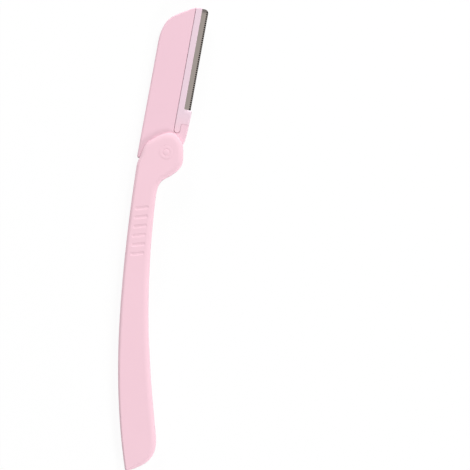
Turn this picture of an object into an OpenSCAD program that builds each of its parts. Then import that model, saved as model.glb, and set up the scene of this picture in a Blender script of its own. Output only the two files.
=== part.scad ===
// Folding eyebrow razor.
// The axis of the pivot is the origin, the flat back of the handle lies on z = 0,
// +Y runs along the straight spine of the head and +Z rises from the front of the handle.
// The head swings clockwise about the pivot, edge first, into the slot along the handle.

/* [Handle] */
// Length from the pivot to the tip of the butt
handle_len = 122; // [105:1:140]
// Width across the butt, which the sideways shape of the handle follows
handle_w = 13.4; // [12:0.1:15]
// Height of the round boss above the pivot
boss_r = 7.7; // [7.4:0.1:8.4]
// Thickness of each cheek beside the slot
cheek_t = 1.6; // [1.4:0.05:1.9]
// Width of the rounded rim on the side of the blade
front_rim = 1.5; // [1.1:0.05:1.7]
// Width of the rounded rim on the side of the spine
back_rim = 1; // [0.7:0.05:1.1]
// Height of the rounded rims
rim_h = 1.25; // [0.8:0.05:1.3]
// Wall around the hollow of the butt
butt_wall = 1.7; // [1.4:0.05:2.4]
// Thickness of the skin over the hollow of the butt
skin_t = 1.5; // [1.2:0.05:1.8]

/* [Grip grooves] */
// Number of slanted grip grooves
groove_count = 6; // [3:1:8]
// Distance from the pivot down to the first groove
groove_start = 22.4; // [21:0.1:26]
// Distance from one groove to the next
groove_pitch = 3.48; // [2.8:0.02:3.8]
// Length of each groove between the centres of its ends
groove_len = 3.9; // [2.5:0.1:4.2]
// Depth of each groove
groove_depth = 0.3; // [0.15:0.05:0.4]
// Radius of the scoop that shapes each groove
groove_r = 1.1; // [0.8:0.05:1.5]
// Slant of the grooves in degrees
groove_slant = 17; // [0:1:30]

/* [Pivot] */
// Radius of the shank of the pin
pin_r = 1.45; // [1.2:0.05:1.6]
// Radius of the head of the pin
pin_head_r = 2.75; // [2.2:0.05:3]
// Thickness of the head of the pin
pin_head_t = 0.75; // [0.5:0.05:0.9]
// Depth of the head of the pin below the front of the boss
pin_sink = 0.06; // [0.02:0.01:0.12]
// Depth of the dimple in the head of the pin
dimple_depth = 0.12; // [0.05:0.01:0.2]
// Depth of the blind hole for the shank in the back cheek
pin_seat = 1; // [0.6:0.05:1.1]
// Radius of the hub of the head around the pin
hub_r = 5.8; // [5:0.1:6.2]
// Angle that the head folds through in degrees
fold_angle = 174; // [150:1:175]

/* [Head plate] */
// Height from the pivot to the top of the head
head_len = 56.5; // [50:0.5:62]
// Distance from the pivot to the straight spine
spine_x = 10.5; // [10.2:0.1:11.4]
// Distance from the pivot to the straight side of the foot
edge_x = 6.84; // [6.7:0.02:7.2]
// Thickness of the head plate
head_t = 2; // [1.8:0.05:2.2]
// Width of the rounded rim of the spine
spine_rim = 0.8; // [0.5:0.05:1]
// Width of the rounded rim of the other sides of the head
head_rim = 0.55; // [0.3:0.05:0.7]
// Height of the rounded rims of the head
head_rim_h = 0.7; // [0.4:0.05:0.8]
// Distance from the pivot down to the stop edge of the head plate
stop_drop = 3.9; // [3.6:0.1:4.4]
// Radius of the lower corner of the spine
stop_corner_r = 0.9; // [0.8:0.05:1.4]

/* [Blade carrier] */
// Distance from the pivot to the seam between the plate and the carrier
seam_x = 1.45; // [1.2:0.05:1.6]
// Width of the tongue at the bottom of the carrier
tongue_w = 2.4; // [2.1:0.05:2.6]
// Distance from the top of the boss to the bottom of the tongue
tongue_gap = 0.25; // [0.15:0.05:0.8]
// Distance from the bottom of the tongue to the underside of the foot
tongue_h = 3.7; // [3.3:0.05:4.2]
// Height of the foot below the metal
foot_h = 5.35; // [4.6:0.05:6]
// Height of the feather that locks the carrier into the plate
feather_h = 0.8; // [0.5:0.05:0.9]
// Depth of the feather
feather_w = 0.55; // [0.3:0.05:0.8]
// Width of the bevel on the lips of the carrier
lip_bevel = 0.3; // [0.15:0.05:0.4]

/* [Blade and guard] */
// Distance from the top of the blade to the top of the head
blade_end = 0.5; // [0.4:0.05:1]
// Distance from the pivot to the bare part of the metal
metal_x = 3.8; // [3.7:0.02:4.2]
// Thickness of the blade
blade_t = 0.24; // [0.2:0.01:0.3]
// Width of the ground bevel of the edge
bevel_w = 0.75; // [0.5:0.05:0.9]
// Thickness of the foil of the guard
foil_t = 0.12; // [0.08:0.01:0.15]
// Distance from the blade's edge to the outside of the guard
guard_reach = 0.3; // [0.27:0.01:0.36]
// Distance from the outside of the guard to the side of the foot
guard_inset = 0.46; // [0.3:0.02:0.6]
// Pitch of the teeth of the guard
tooth_pitch = 0.83; // [0.75:0.01:1.2]
// Width of the gap between two teeth
tooth_gap = 0.5; // [0.35:0.01:0.55]
// Depth of the gaps from the outside of the guard
tooth_depth = 0.85; // [0.65:0.05:1]
// Radius of the outer top corner of the metal
tip_r = 1; // [0.7:0.05:1.2]
// Radius of the pegs that hold the blade
peg_r = 0.4; // [0.3:0.05:0.45]

/* [Locating pins of the handle] */
// Radius of the locating pins
dowel_r = 0.9; // [0.6:0.05:1]
// Length of the locating pins
dowel_len = 1; // [0.6:0.05:1.05]
// Radius of the posts in the hollow
post_r = 2; // [1.7:0.1:2.4]

/* [Clearances] */
// Radial clearance of the hub on the pin
run_gap = 0.05; // [0.02:0.01:0.1]
// Clearance of the head plate to each cheek
cheek_gap = 0.1; // [0.05:0.01:0.15]
// Radial clearance of fixed fits
fit_gap = 0.02; // [0.01:0.01:0.03]
// Width of the seam around the carrier
seam_gap = 0.1; // [0.04:0.01:0.16]
// Clearance of the head to its two end stops
stop_gap = 0.06; // [0.02:0.01:0.12]
// Room past the tip of the folded head
tip_room = 0.9; // [0.5:0.1:1.5]

/* [Hidden] */

$fn = 64;

// Steps of a rounded rim
rim_steps = 6;
// Overrun of cuts past the surfaces they open
over = 1;

// Thickness of the handle: two cheeks with the head plate between them
handle_t = 2 * (cheek_t + cheek_gap) + head_t;
// Heights of the plane between the halves and of the back of the head plate
split_z = handle_t / 2;
head_z = split_z - head_t / 2;

// Heights above the pivot of the bottoms of the tongue, the foot and the metal
tongue_y = boss_r + tongue_gap;
foot_y = tongue_y + tongue_h;
blade_y = foot_y + foot_h;

// Knots are [x, y, heading, rim]. Headings are in degrees, travelling from the top
// of a piece to its bottom. Shares are of the boss height around the boss and of the
// width and length of the handle below it.
boss_back_shares = [
    [0.13, 1, 180, 1.8],
    [-0.935, 0.385, 222, 1.2],
    [-1.185, -0.235, 262.5, 0.45],
    [-1.31, -0.92, 271.5, 0.1]
];
boss_front_shares = [
    [0.13, 1, 0, 1.8],
    [0.585, 0.745, -48, 1.5],
    [0.89, -0.17, -80, 1],
    [0.19, -1.335, -143.5, 1]
];
back_shares = [
    [-0.5, -0.486, 276, 0],
    [0.453, -0.992, 288.5, 0]
];
front_shares = [
    [-0.055, -0.145, -86.5, 1],
    [0.291, -0.486, -80, 1],
    [1.127, -0.8655, -74, 1],
    [1.172, -0.9365, -107.5, 0.9],
    [0.838, -0.9785, -146.5, 0.7],
    [0.56, -0.9963, -150, 0.3]
];
// Shares of the tip of the butt, and its headings on both sides
tip_share = [0.497, -0.997];
tip_back_heading = 340;
tip_front_heading = -200;
tip_rim = 0.6;

// Rim at a knot: 0 is the rim of the back edge, 1 that of the front edge, and more is wider
function rim_of(share) = back_rim + (front_rim - back_rim) * share;
function boss_knots(shares) = [for (s = shares) [s[0] * boss_r, s[1] * boss_r, s[2], rim_of(s[3])]];
function shaft_knots(shares) =
    [for (s = shares) [s[0] * handle_w, s[1] * handle_len, s[2], rim_of(s[3])]];
function tip_knot(heading) = [tip_share[0] * handle_w, tip_share[1] * handle_len, heading, tip_rim];

function heading(a) = [cos(a), sin(a)];

// Stations of one cubic stretch between two knots, a circular arc where its ends allow one
function stretch(p, q, n) =
    let (
        from = [p[0], p[1]],
        to = [q[0], q[1]],
        reach = norm(to - from) / (3 * pow(cos((q[2] - p[2]) / 4), 2)),
        a = from + reach * heading(p[2]),
        b = to - reach * heading(q[2])
    )
    [for (i = [0:n - 1])
        let (
            t = i / n,
            s = 1 - t,
            at = s * s * s * from + 3 * s * s * t * a + 3 * s * t * t * b + t * t * t * to,
            d = s * s * (a - from) + 2 * s * t * (b - a) + t * t * (to - b)
        )
        [at[0], at[1], atan2(d[1], d[0]), p[3] + (q[3] - p[3]) * t * t * (3 - 2 * t)]];

// Stations of a whole rail, with a number of steps for each stretch
function rail(knots, steps) =
    [for (k = [0:len(steps) - 1]) each stretch(knots[k], knots[k + 1], steps[k]), knots[len(steps)]];

// A rail moved inwards, side 1 for a left rail and -1 for a right one
function inward(stations, side, by) =
    [for (s = stations) [s[0], s[1]] + by * heading(s[2] + side * 90)];
function rimmed(stations, side, share) =
    [for (s = stations) [s[0], s[1]] + share * s[3] * heading(s[2] + side * 90)];

// Levels [z, share of the rim] of a rim that rises to full width above z
function rim_up(z, h) =
    [for (i = [0:rim_steps]) let (a = 90 * i / rim_steps) [z + h * (1 - cos(a)), 1 - sin(a)]];
function rim_down(z, h) =
    [for (i = [rim_steps:-1:0]) let (a = 90 * i / rim_steps) [z - h * (1 - cos(a)), 1 - sin(a)]];

// Solid between two rails that share their first and last stations
module loft(left, right, levels) {
    n = len(left);
    m = 2 * n - 2;
    top = (len(levels) - 1) * m;
    points = [for (lv = levels)
        let (l = rimmed(left, 1, lv[1]), r = rimmed(right, -1, lv[1]))
        each concat(
            [for (p = l) [p[0], p[1], lv[0]]],
            [for (i = [n - 2:-1:1]) [r[i][0], r[i][1], lv[0]]])];
    // Place of station i of the right rail in a ring
    function right_at(i) = m - i;
    sides = [for (k = [0:len(levels) - 2], i = [0:m - 1])
        let (
            j = (i + 1) % m,
            low = k * m,
            high = low + m
        )
        each [[low + i, high + i, high + j], [low + i, high + j, low + j]]];
    caps = [for (i = [1:n - 3])
        each [
            [top + i, top + right_at(i), top + right_at(i + 1), top + i + 1],
            [i, i + 1, right_at(i + 1), right_at(i)]
        ]];
    ends = [
        [top, top + right_at(1), top + 1],
        [0, 1, right_at(1)],
        [top + n - 2, top + right_at(n - 2), top + n - 1],
        [n - 2, n - 1, right_at(n - 2)]
    ];
    polyhedron(points = points, faces = concat(sides, caps, ends), convexity = 8);
}

// Rails of the handle
handle_left = rail(
    concat(boss_knots(boss_back_shares), shaft_knots(back_shares), [tip_knot(tip_back_heading)]),
    [8, 4, 4, 20, 24, 4]);
handle_right = rail(
    concat(boss_knots(boss_front_shares), shaft_knots(front_shares), [tip_knot(tip_front_heading)]),
    [6, 6, 8, 6, 10, 12, 4, 6, 2, 4]);

// Place across the handle at a height: share 0 is the back edge and 1 the front edge
function across(y, share) =
    let (
        back = lookup(y, [for (s = handle_left) [s[1], s[0]]]),
        front = lookup(y, [for (s = handle_right) [s[1], s[0]]])
    )
    [back + share * (front - back), y];

// First and last stations of the hollow in the butt
hollow_first = 39;
hollow_last = 57;

// Locating pins, three in the back wall of the slot and two in the butt
wall_pin_y_share = [-0.085, -0.25, -0.43];
wall_pin_x_share = [0.13, 0.27, 0.27];
butt_pin_y_share = [-0.64, -0.86];
butt_pin_x_share = 0.5;
wall_pins = [for (i = [0:len(wall_pin_y_share) - 1])
    across(wall_pin_y_share[i] * handle_len, wall_pin_x_share[i])];
butt_pins = [for (s = butt_pin_y_share) across(s * handle_len, butt_pin_x_share)];

// Space that the head needs between the cheeks, seen from the front
module slot_outline() {
    wall_x = edge_x + stop_gap;
    translate([-2 * spine_x, -stop_drop - stop_gap])
        square([4 * spine_x, 4 * spine_x]);
    rotate(-fold_angle)
        translate([wall_x - 4 * spine_x, 0])
            square([4 * spine_x, head_len + tip_room]);
    circle(r = hub_r + cheek_gap);
}

// One half of the handle, outer face on z = 0 and open towards the other half
module half_shell() {
    floor_levels = rim_up(0, rim_h);
    difference() {
        loft(handle_left, handle_right, concat(floor_levels, [[split_z, 0]]));
        translate([0, 0, cheek_t])
            linear_extrude(split_z)
                slot_outline();
        difference() {
            translate([0, 0, skin_t])
                linear_extrude(split_z)
                    polygon(concat(
                        [for (i = [hollow_first:hollow_last]) inward(handle_left, 1, butt_wall)[i]],
                        [for (i = [hollow_last:-1:hollow_first])
                            inward(handle_right, -1, butt_wall)[i]]));
            for (p = butt_pins)
                translate([p[0], p[1], 0])
                    cylinder(r = post_r, h = handle_t);
        }
    }
}

// Place of the grooves across the handle
groove_share = 0.48;

// One slanted groove, a scoop with round ends
module groove() {
    for (end = [-1, 1])
        translate([end * groove_len / 2, 0, 0])
            sphere(r = groove_r, $fn = 48);
    translate([-groove_len / 2, 0, 0])
        rotate([0, 90, 0])
            cylinder(r = groove_r, h = groove_len, $fn = 48);
}

module handle_front() {
    color([0.95, 0.79, 0.84]) {
        difference() {
            translate([0, 0, handle_t])
                mirror([0, 0, 1])
                    half_shell();
            translate([0, 0, split_z])
                cylinder(r = pin_r + fit_gap, h = handle_t);
            translate([0, 0, handle_t - pin_sink - pin_head_t])
                cylinder(r = pin_head_r + fit_gap, h = handle_t);
            for (i = [0:groove_count - 1]) {
                at = across(-groove_start - i * groove_pitch, groove_share);
                translate([at[0], at[1], handle_t + groove_r - groove_depth])
                    rotate(groove_slant)
                        groove();
            }
        }
        for (p = concat(wall_pins, butt_pins))
            translate([p[0], p[1], split_z - dowel_len])
                cylinder(r = dowel_r, h = dowel_len + skin_t / 2);
    }
}

module handle_back() {
    color([0.95, 0.79, 0.84])
        difference() {
            half_shell();
            translate([0, 0, cheek_t - pin_seat])
                cylinder(r = pin_r + fit_gap, h = handle_t);
            for (p = concat(wall_pins, butt_pins))
                translate([p[0], p[1], split_z - dowel_len - fit_gap])
                    cylinder(r = dowel_r + fit_gap, h = handle_t);
        }
}

module pivot_pin() {
    head_top = handle_t - pin_sink;
    color([0.94, 0.77, 0.83])
        difference() {
            union() {
                translate([0, 0, cheek_t - pin_seat + fit_gap])
                    cylinder(r = pin_r, h = head_top - pin_head_t / 2 - cheek_t + pin_seat - fit_gap);
                translate([0, 0, head_top - pin_head_t])
                    cylinder(r = pin_head_r, h = pin_head_t);
            }
            translate([0, 0, head_top - dimple_depth])
                cylinder(r = pin_r, h = dimple_depth + over);
        }
}

// Rails of the head plate, the carrier still a part of it
head_corner_share = [[-1, 0.72], [-0.807, 0.863], [-0.072, 0.97], [0.61, 1]];
// Shares of the side of the foot where it narrows towards the hub
foot_share = [0.96, 0.85];
head_left = rail([
    [head_corner_share[3][0] * edge_x, head_len, 180, head_rim],
    [head_corner_share[2][0] * spine_x, head_corner_share[2][1] * head_len, 218.5, head_rim],
    [head_corner_share[1][0] * spine_x, head_corner_share[1][1] * head_len, 243.5, spine_rim],
    [-spine_x, head_corner_share[0][1] * head_len, 270, spine_rim],
    [-spine_x, stop_corner_r - stop_drop, 270, spine_rim],
    [stop_corner_r - spine_x, -stop_drop, 360, head_rim],
    [foot_share[1] * edge_x - stop_drop, -stop_drop, 360, head_rim],
    [foot_share[1] * edge_x, 0, 450, head_rim]
], [4, 6, 6, 6, 5, 3, 4]);
head_right = rail([
    [head_corner_share[3][0] * edge_x, head_len, 0, head_rim],
    [edge_x, head_len - tip_r * 2, -90, head_rim],
    [edge_x, blade_y - lip_bevel, -90, head_rim],
    [foot_share[0] * edge_x, foot_y - tongue_w, -93, head_rim],
    [foot_share[1] * edge_x, stop_drop, -108, head_rim],
    [foot_share[1] * edge_x, 0, -90, head_rim]
], [8, 8, 6, 6, 6]);

// The head plate before the carrier's notch is cut
module head_blank() {
    loft(head_left, head_right, concat(
        rim_up(head_z, head_rim_h),
        rim_down(head_z + head_t, head_rim_h)));
}

// Outline of the carrier, grown by some width on the sides that meet the plate
module carrier_outline(grow) {
    half_w = tongue_w / 2;
    tongue_mid = [seam_x + half_w, tongue_y + half_w];
    translate(tongue_mid)
        circle(r = half_w + grow);
    translate([seam_x - grow, tongue_mid[1]])
        square([tongue_w + 2 * grow, head_len]);
    translate([seam_x - grow, foot_y - grow])
        square([2 * edge_x, head_len]);
}

// Bar along the height of the head with its low corner at [x, z]
module upright_bar(x, z, w, t, low, high) {
    translate([x, low, z])
        cube([w, high - low, t]);
}

feather_low = foot_y + tongue_w / 2;
feather_high = head_len - blade_end - 2 * tip_r;

module blade_arm() {
    color([0.955, 0.8, 0.845])
        difference() {
            union() {
                head_blank();
                translate([0, 0, head_z])
                    cylinder(r = hub_r, h = head_t);
            }
            translate([0, 0, head_z - over])
                linear_extrude(head_t + 2 * over)
                    carrier_outline(seam_gap / 2);
            upright_bar(
                seam_x - feather_w - seam_gap / 2, split_z - feather_h / 2 - fit_gap,
                feather_w + over, feather_h + 2 * fit_gap,
                feather_low - fit_gap, feather_high + fit_gap);
            translate([0, 0, head_z - over])
                cylinder(r = pin_r + run_gap, h = head_t + 2 * over);
        }
}

// Length of the blade
blade_len = head_len - blade_end - blade_y;

// Sizes across the metal
guard_out = edge_x - guard_inset;
blade_edge_x = guard_out - guard_reach;
blade_back_share = 0.27;
blade_back_x = seam_x + blade_back_share * tongue_w;
foil_in_x = blade_back_x + 3 * peg_r;
metal_half = blade_t / 2 + fit_gap / 2 + foil_t;
blade_top = head_len - blade_end;
peg_x = blade_back_x + (foil_in_x - blade_back_x) / 2;
peg_y_shares = [0.1, 0.5, 0.9];

module blade_carrier() {
    pocket_x = blade_back_x - fit_gap;
    pocket_half = metal_half + fit_gap;
    color([0.915, 0.825, 0.89]) {
        difference() {
            union() {
                intersection() {
                    head_blank();
                    translate([0, 0, head_z - over])
                        linear_extrude(head_t + 2 * over)
                            carrier_outline(-seam_gap / 2);
                }
                upright_bar(
                    seam_x - feather_w, split_z - feather_h / 2,
                    feather_w + seam_gap, feather_h,
                    feather_low, feather_high);
            }
            // Room for the bare metal beyond the lips
            upright_bar(
                metal_x, head_z - over,
                edge_x, head_t + 2 * over,
                blade_y - fit_gap, head_len + over);
            // Pocket between the lips
            upright_bar(
                pocket_x, split_z - pocket_half,
                edge_x, 2 * pocket_half,
                blade_y - fit_gap, blade_top + fit_gap);
            // Bevels along both lips
            for (side = [0, 1])
                translate([metal_x, blade_y - lip_bevel, head_z + side * head_t])
                    rotate([0, 45, 0])
                        translate([-lip_bevel / sqrt(2), 0, -lip_bevel / sqrt(2)])
                            cube([lip_bevel * sqrt(2), head_len, lip_bevel * sqrt(2)]);
        }
        for (share = peg_y_shares)
            translate([peg_x, blade_y + share * blade_len, split_z - pocket_half - foil_t])
                cylinder(r = peg_r, h = 2 * (pocket_half + foil_t));
    }
}

// Block that rounds off the outer top corner of the metal
module tip_corner() {
    translate([guard_out - tip_r, blade_top - tip_r, split_z - over])
        difference() {
            cube([tip_r + over, tip_r + over, 2 * over]);
            translate([0, 0, -over])
                cylinder(r = tip_r, h = 4 * over);
        }
}

module blade() {
    edge_t = fit_gap;
    color([0.62, 0.59, 0.56])
        difference() {
            translate([0, blade_top, split_z])
                rotate([90, 0, 0])
                    linear_extrude(blade_len)
                        polygon([
                            [blade_back_x, -blade_t / 2],
                            [blade_edge_x - bevel_w, -blade_t / 2],
                            [blade_edge_x, -edge_t / 2],
                            [blade_edge_x, edge_t / 2],
                            [blade_edge_x - bevel_w, blade_t / 2],
                            [blade_back_x, blade_t / 2]
                        ]);
            for (share = peg_y_shares)
                translate([peg_x, blade_y + share * blade_len, split_z - over])
                    cylinder(r = peg_r + fit_gap, h = 2 * over);
            tip_corner();
        }
}

// Bar with a round outer side, from x outwards to the fold of the guard
module folded_bar(x, half, low, high) {
    fold_x = guard_out - metal_half;
    upright_bar(x, split_z - half, fold_x - x, 2 * half, low, high);
    translate([fold_x, high, split_z])
        rotate([90, 0, 0])
            cylinder(r = half, h = high - low, $fn = 32);
}

module blade_guard() {
    tooth_count = floor((blade_len - tooth_gap - tip_r) / tooth_pitch);
    first_y = blade_y + (blade_len - tip_r / 2 - tooth_count * tooth_pitch) / 2;
    gap_x = guard_out - tooth_depth + tooth_gap / 2;
    color([0.66, 0.62, 0.58])
        difference() {
            folded_bar(foil_in_x, metal_half, blade_y, blade_top);
            folded_bar(foil_in_x - over, metal_half - foil_t, blade_y - over, blade_top + over);
            for (i = [0:tooth_count]) {
                translate([gap_x, first_y + i * tooth_pitch, split_z - over])
                    cylinder(r = tooth_gap / 2, h = 2 * over, $fn = 24);
                translate([gap_x, first_y + i * tooth_pitch - tooth_gap / 2, split_z - over])
                    cube([tooth_depth, tooth_gap, 2 * over]);
            }
            tip_corner();
        }
}

handle_front();
handle_back();
pivot_pin();
blade_arm();
blade_carrier();
blade();
blade_guard();
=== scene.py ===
"""Folding eyebrow razor: a curved handle of two moulded halves, a pivot pin, and a flat head
with a guarded steel blade that folds into the handle. Laid out as a Blender add-on and run as
a script. Pieces are modelled in millimetres and brought to metres when they are finished."""

import math
from types import SimpleNamespace

import bmesh
import bpy
from mathutils import Matrix, Vector


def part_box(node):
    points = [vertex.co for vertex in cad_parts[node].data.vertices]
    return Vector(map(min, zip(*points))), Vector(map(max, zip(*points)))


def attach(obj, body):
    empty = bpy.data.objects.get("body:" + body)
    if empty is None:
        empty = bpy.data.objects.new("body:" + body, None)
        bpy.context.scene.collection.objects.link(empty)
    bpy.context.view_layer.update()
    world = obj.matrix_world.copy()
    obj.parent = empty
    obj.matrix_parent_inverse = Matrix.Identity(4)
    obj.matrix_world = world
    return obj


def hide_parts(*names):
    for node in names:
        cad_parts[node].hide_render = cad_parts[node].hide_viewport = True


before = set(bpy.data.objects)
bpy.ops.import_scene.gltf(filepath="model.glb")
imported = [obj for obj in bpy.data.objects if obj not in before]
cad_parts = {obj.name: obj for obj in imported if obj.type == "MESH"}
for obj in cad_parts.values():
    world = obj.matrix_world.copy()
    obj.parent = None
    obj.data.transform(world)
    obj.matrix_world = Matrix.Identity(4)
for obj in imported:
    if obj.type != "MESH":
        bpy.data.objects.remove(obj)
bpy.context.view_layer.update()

bl_info = {
    "name": "Folding eyebrow razor",
    "version": (1, 0, 0),
    "blender": (4, 5, 0),
    "location": "3D View > Sidebar > Razor",
    "description": "Builds a folding eyebrow razor on its CAD frame",
    "category": "Object",
}

MM = 0.001

# Cutters pass the faces that they cut by OVER and the head's top by PAST_TOP millimetres,
# and reach out to PAST_SIDE times a piece's width
OVER = 1
PAST_TOP = 4
PAST_SIDE = 3
# Past a face, a cutter widens to this many times the radius of its rounded edge
FLARE = 1.5
# The middle of a rounded edge lies this share of its radius inside the corner
DIAGONAL = 0.3
# Points closer than these, in millimetres, are made one
MERGED = 0.0005
CORNER_MERGED = 0.01
# Steps of a stretch between two knots, a rim, a corner, a turn and a fine turn
STRETCH_STEPS = 14
RIM_STEPS = 8
CORNER_STEPS = 10
TURN_STEPS = 64
FINE_TURN_STEPS = 96

# ---------------- sizes and colours


def linear(hex_colour):
    """The linear colour of an sRGB hex value."""
    shares = [int(hex_colour[i : i + 2], 16) / 255 for i in (0, 2, 4)]
    return [s / 12.92 if s <= 0.04045 else ((s + 0.055) / 1.055) ** 2.4 for s in shares]


def length(name, description, mm):
    """A length property with its default in millimetres."""
    return bpy.props.FloatProperty(
        name=name, description=description, default=mm * MM, min=0, precision=5, unit="LENGTH"
    )


def colour(name, description, hex_colour):
    """A colour property with its default as an sRGB hex value."""
    tint = linear(hex_colour)
    return bpy.props.FloatVectorProperty(
        name=name, description=description, default=tint, min=0, max=1, size=3, subtype="COLOR"
    )


class HandleSizes(bpy.types.PropertyGroup):
    """Sizes of the handle and its pivot."""

    handle_len: length("Length", "From the pivot to the tip of the butt", 122)
    handle_w: length("Width", "Across the butt", 13.4)
    boss_r: length("Boss height", "From the pivot to the top of the round boss", 7.7)
    handle_t: length("Thickness", "Of both halves with the head between them", 5.4)
    cheek_t: length("Cheek", "Thickness of each cheek beside the slot", 1.6)
    front_rim: length("Front rim", "Width of the rounded rim on the blade's side", 2.2)
    back_rim: length("Back rim", "Width of the rounded rim on the spine's side", 1.25)
    rim_h: length("Rim height", "Height of the rounded rims", 1.4)
    parting: length("Parting line", "Edge break where the two halves meet", 0.1)
    groove_start: length("First groove", "From the pivot down to the first groove", 22.4)
    groove_pitch: length("Groove pitch", "From one groove to the next", 3.48)
    groove_len: length("Groove length", "Between the centres of its ends", 3.9)
    groove_depth: length("Groove depth", "Of each grip groove", 0.2)
    groove_r: length("Groove scoop", "Radius of the scoop of each groove", 1.5)
    pin_r: length("Pin shank", "Radius of the shank of the pin", 1.45)
    pin_head_r: length("Pin head", "Radius of the head of the pin", 2.75)
    pin_head_t: length("Pin head thickness", "Thickness of the head of the pin", 0.75)
    pin_sink: length("Pin sink", "Depth of the pin below the boss", 0.03)
    ring_r: length("Pin ring", "Radius of the fine groove in the pin's head", 1.3)
    ring_w: length("Pin ring width", "Width of that groove", 0.36)
    ring_depth: length("Pin ring depth", "Depth of that groove", 0.1)
    pin_seat: length("Pin seat", "Depth of the pin in the back cheek", 1)
    hub_r: length("Hub", "Radius of the head's hub", 5.8)
    groove_count: bpy.props.IntProperty(
        name="Grooves", description="Number of grip grooves", default=6, min=1, max=8
    )
    groove_slant: bpy.props.FloatProperty(
        name="Slant",
        description="Slant of the grooves",
        default=math.radians(17),
        subtype="ANGLE",
    )
    fold_angle: bpy.props.FloatProperty(
        name="Fold",
        description="Angle that the head folds through",
        default=math.radians(174),
        subtype="ANGLE",
    )


class HeadSizes(bpy.types.PropertyGroup):
    """Sizes of the head plate, the carrier and the metal."""

    head_len: length("Length", "From the pivot to the top of the head", 56.5)
    spine_x: length("Spine", "From the pivot to the straight spine", 10.55)
    edge_x: length("Foot side", "From the pivot to the side of the foot", 6.84)
    head_t: length("Thickness", "Of the head plate", 2)
    spine_rim: length("Spine rim", "Width of the rounded rim of the spine", 0.8)
    head_rim: length("Rim", "Width of the other rounded rims", 0.55)
    head_rim_h: length("Rim height", "Height of the rounded rims", 0.85)
    stop_drop: length("Stop edge", "From the pivot down to the stop edge", 3.9)
    stop_corner_r: length("Stop corner", "Radius of the spine's lower corner", 0.7)
    seam_x: length("Seam", "From the pivot to the seam beside the carrier", 1.37)
    seam_gap: length("Seam width", "Gap around the carrier", 0.16)
    seam_round: length("Seam edges", "Radius of the moulded edges along the seam", 0.12)
    seam_depth: length("Seam depth", "From the faces to where the carrier touches", 0.75)
    tongue_w: length("Tongue", "Width of the carrier's tongue", 2.35)
    tongue_y: length("Tongue end", "Height of the end of the tongue", 7.95)
    foot_y: length("Foot", "Height of the underside of the foot", 11.65)
    blade_y: length("Metal", "Height of the bottom of the metal", 17.33)
    blade_end: length("Metal end", "From the top of the metal to the top of the head", 0.35)
    metal_x: length("Lips", "From the pivot to the bare part of the metal", 3.8)
    lip_bevel: length("Lip bevel", "Width of the bevel on the lips", 0.25)
    end_bevel: length("End bevel", "Width of the bevel below the metal", 0.5)
    end_ease: length("End ease", "Width of the shallow slope beside that bevel", 0.95)
    end_drop: length("End drop", "Height of the bevel below the metal", 0.75)
    tip_r: length("Metal corner", "Radius of the outer top corner of the metal", 1.5)
    end_w: length("Metal end", "Length of the darker end of the metal", 2)
    pocket_x: length("Pocket", "From the pivot to the bottom of the blade's pocket", 2.08)
    pocket_half: length("Pocket height", "Half the height of the blade's pocket", 0.27)
    blade_t: length("Blade", "Thickness of the blade", 0.24)
    blade_back: length("Blade back", "From the pivot to the back of the blade", 2.1)
    bevel_w: length("Ground bevel", "Width of the ground bevel of the edge", 0.75)
    guard_x: length("Guard", "From the pivot to the outside of the guard", 6.29)
    guard_back: length("Guard back", "From the pivot to the back of the guard's foil", 3.3)
    guard_reach: length("Guard reach", "From the blade's edge to the guard's outside", 0.02)
    guard_half: length("Guard height", "Half the height of the folded guard", 0.25)
    foil_t: length("Foil", "Thickness of the guard's foil", 0.12)
    tooth_pitch: length("Tooth pitch", "Pitch of the guard's teeth", 0.8265)
    tooth_lead: length("First gap", "From the bottom of the metal to the first gap", 0.55)
    tooth_gap: length("Tooth gap", "Width of the gap between two teeth", 0.55)
    tooth_depth: length("Tooth depth", "Depth of the gaps from the guard's outside", 0.74)


class FinishColours(bpy.types.PropertyGroup):
    """Colours of the plastics and the metals."""

    handle: colour("Handle", "Pink moulded plastic of the handle", "F4CDD9")
    arm: colour("Head plate", "Pink moulded plastic of the head plate", "F0C9D6")
    carrier: colour("Carrier", "Paler pink moulded plastic of the carrier", "E9D0DC")
    tongue: colour("Tongue", "Thin end of the carrier, where pink shines through", "F1CCD8")
    # Paler than the carrier: a painted highlight on the bevel below the metal
    lip_highlight: colour("Lip", "Lip of the carrier below the metal, with a painted highlight", "F7E4EE")
    blade: colour("Blade", "Rolled stainless steel of the blade", "958D87")
    # Near black: painted shade on the ground edge, seen in the guard's gaps
    bevel: colour("Ground bevel", "Ground edge of the blade, painted near black as shade", "141312")
    guard: colour("Guard", "Etched stainless steel foil of the guard", "A09791")
    # A darker tint over the top end of the guard
    dark_end: colour("Dark end", "Darker end of the guard", "736C69")
    floor: colour("Floor", "Matt white floor", "FEFEFE")


def in_mm(group):
    """The numbers of a property group, lengths in millimetres."""
    values = SimpleNamespace()
    for key, prop in group.bl_rna.properties.items():
        if prop.type in ("FLOAT", "INT") and not prop.is_readonly:
            scale = 1 / MM if prop.unit == "LENGTH" else 1
            setattr(values, key, getattr(group, key) * scale)
    return values


# ---------------- outlines

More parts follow.
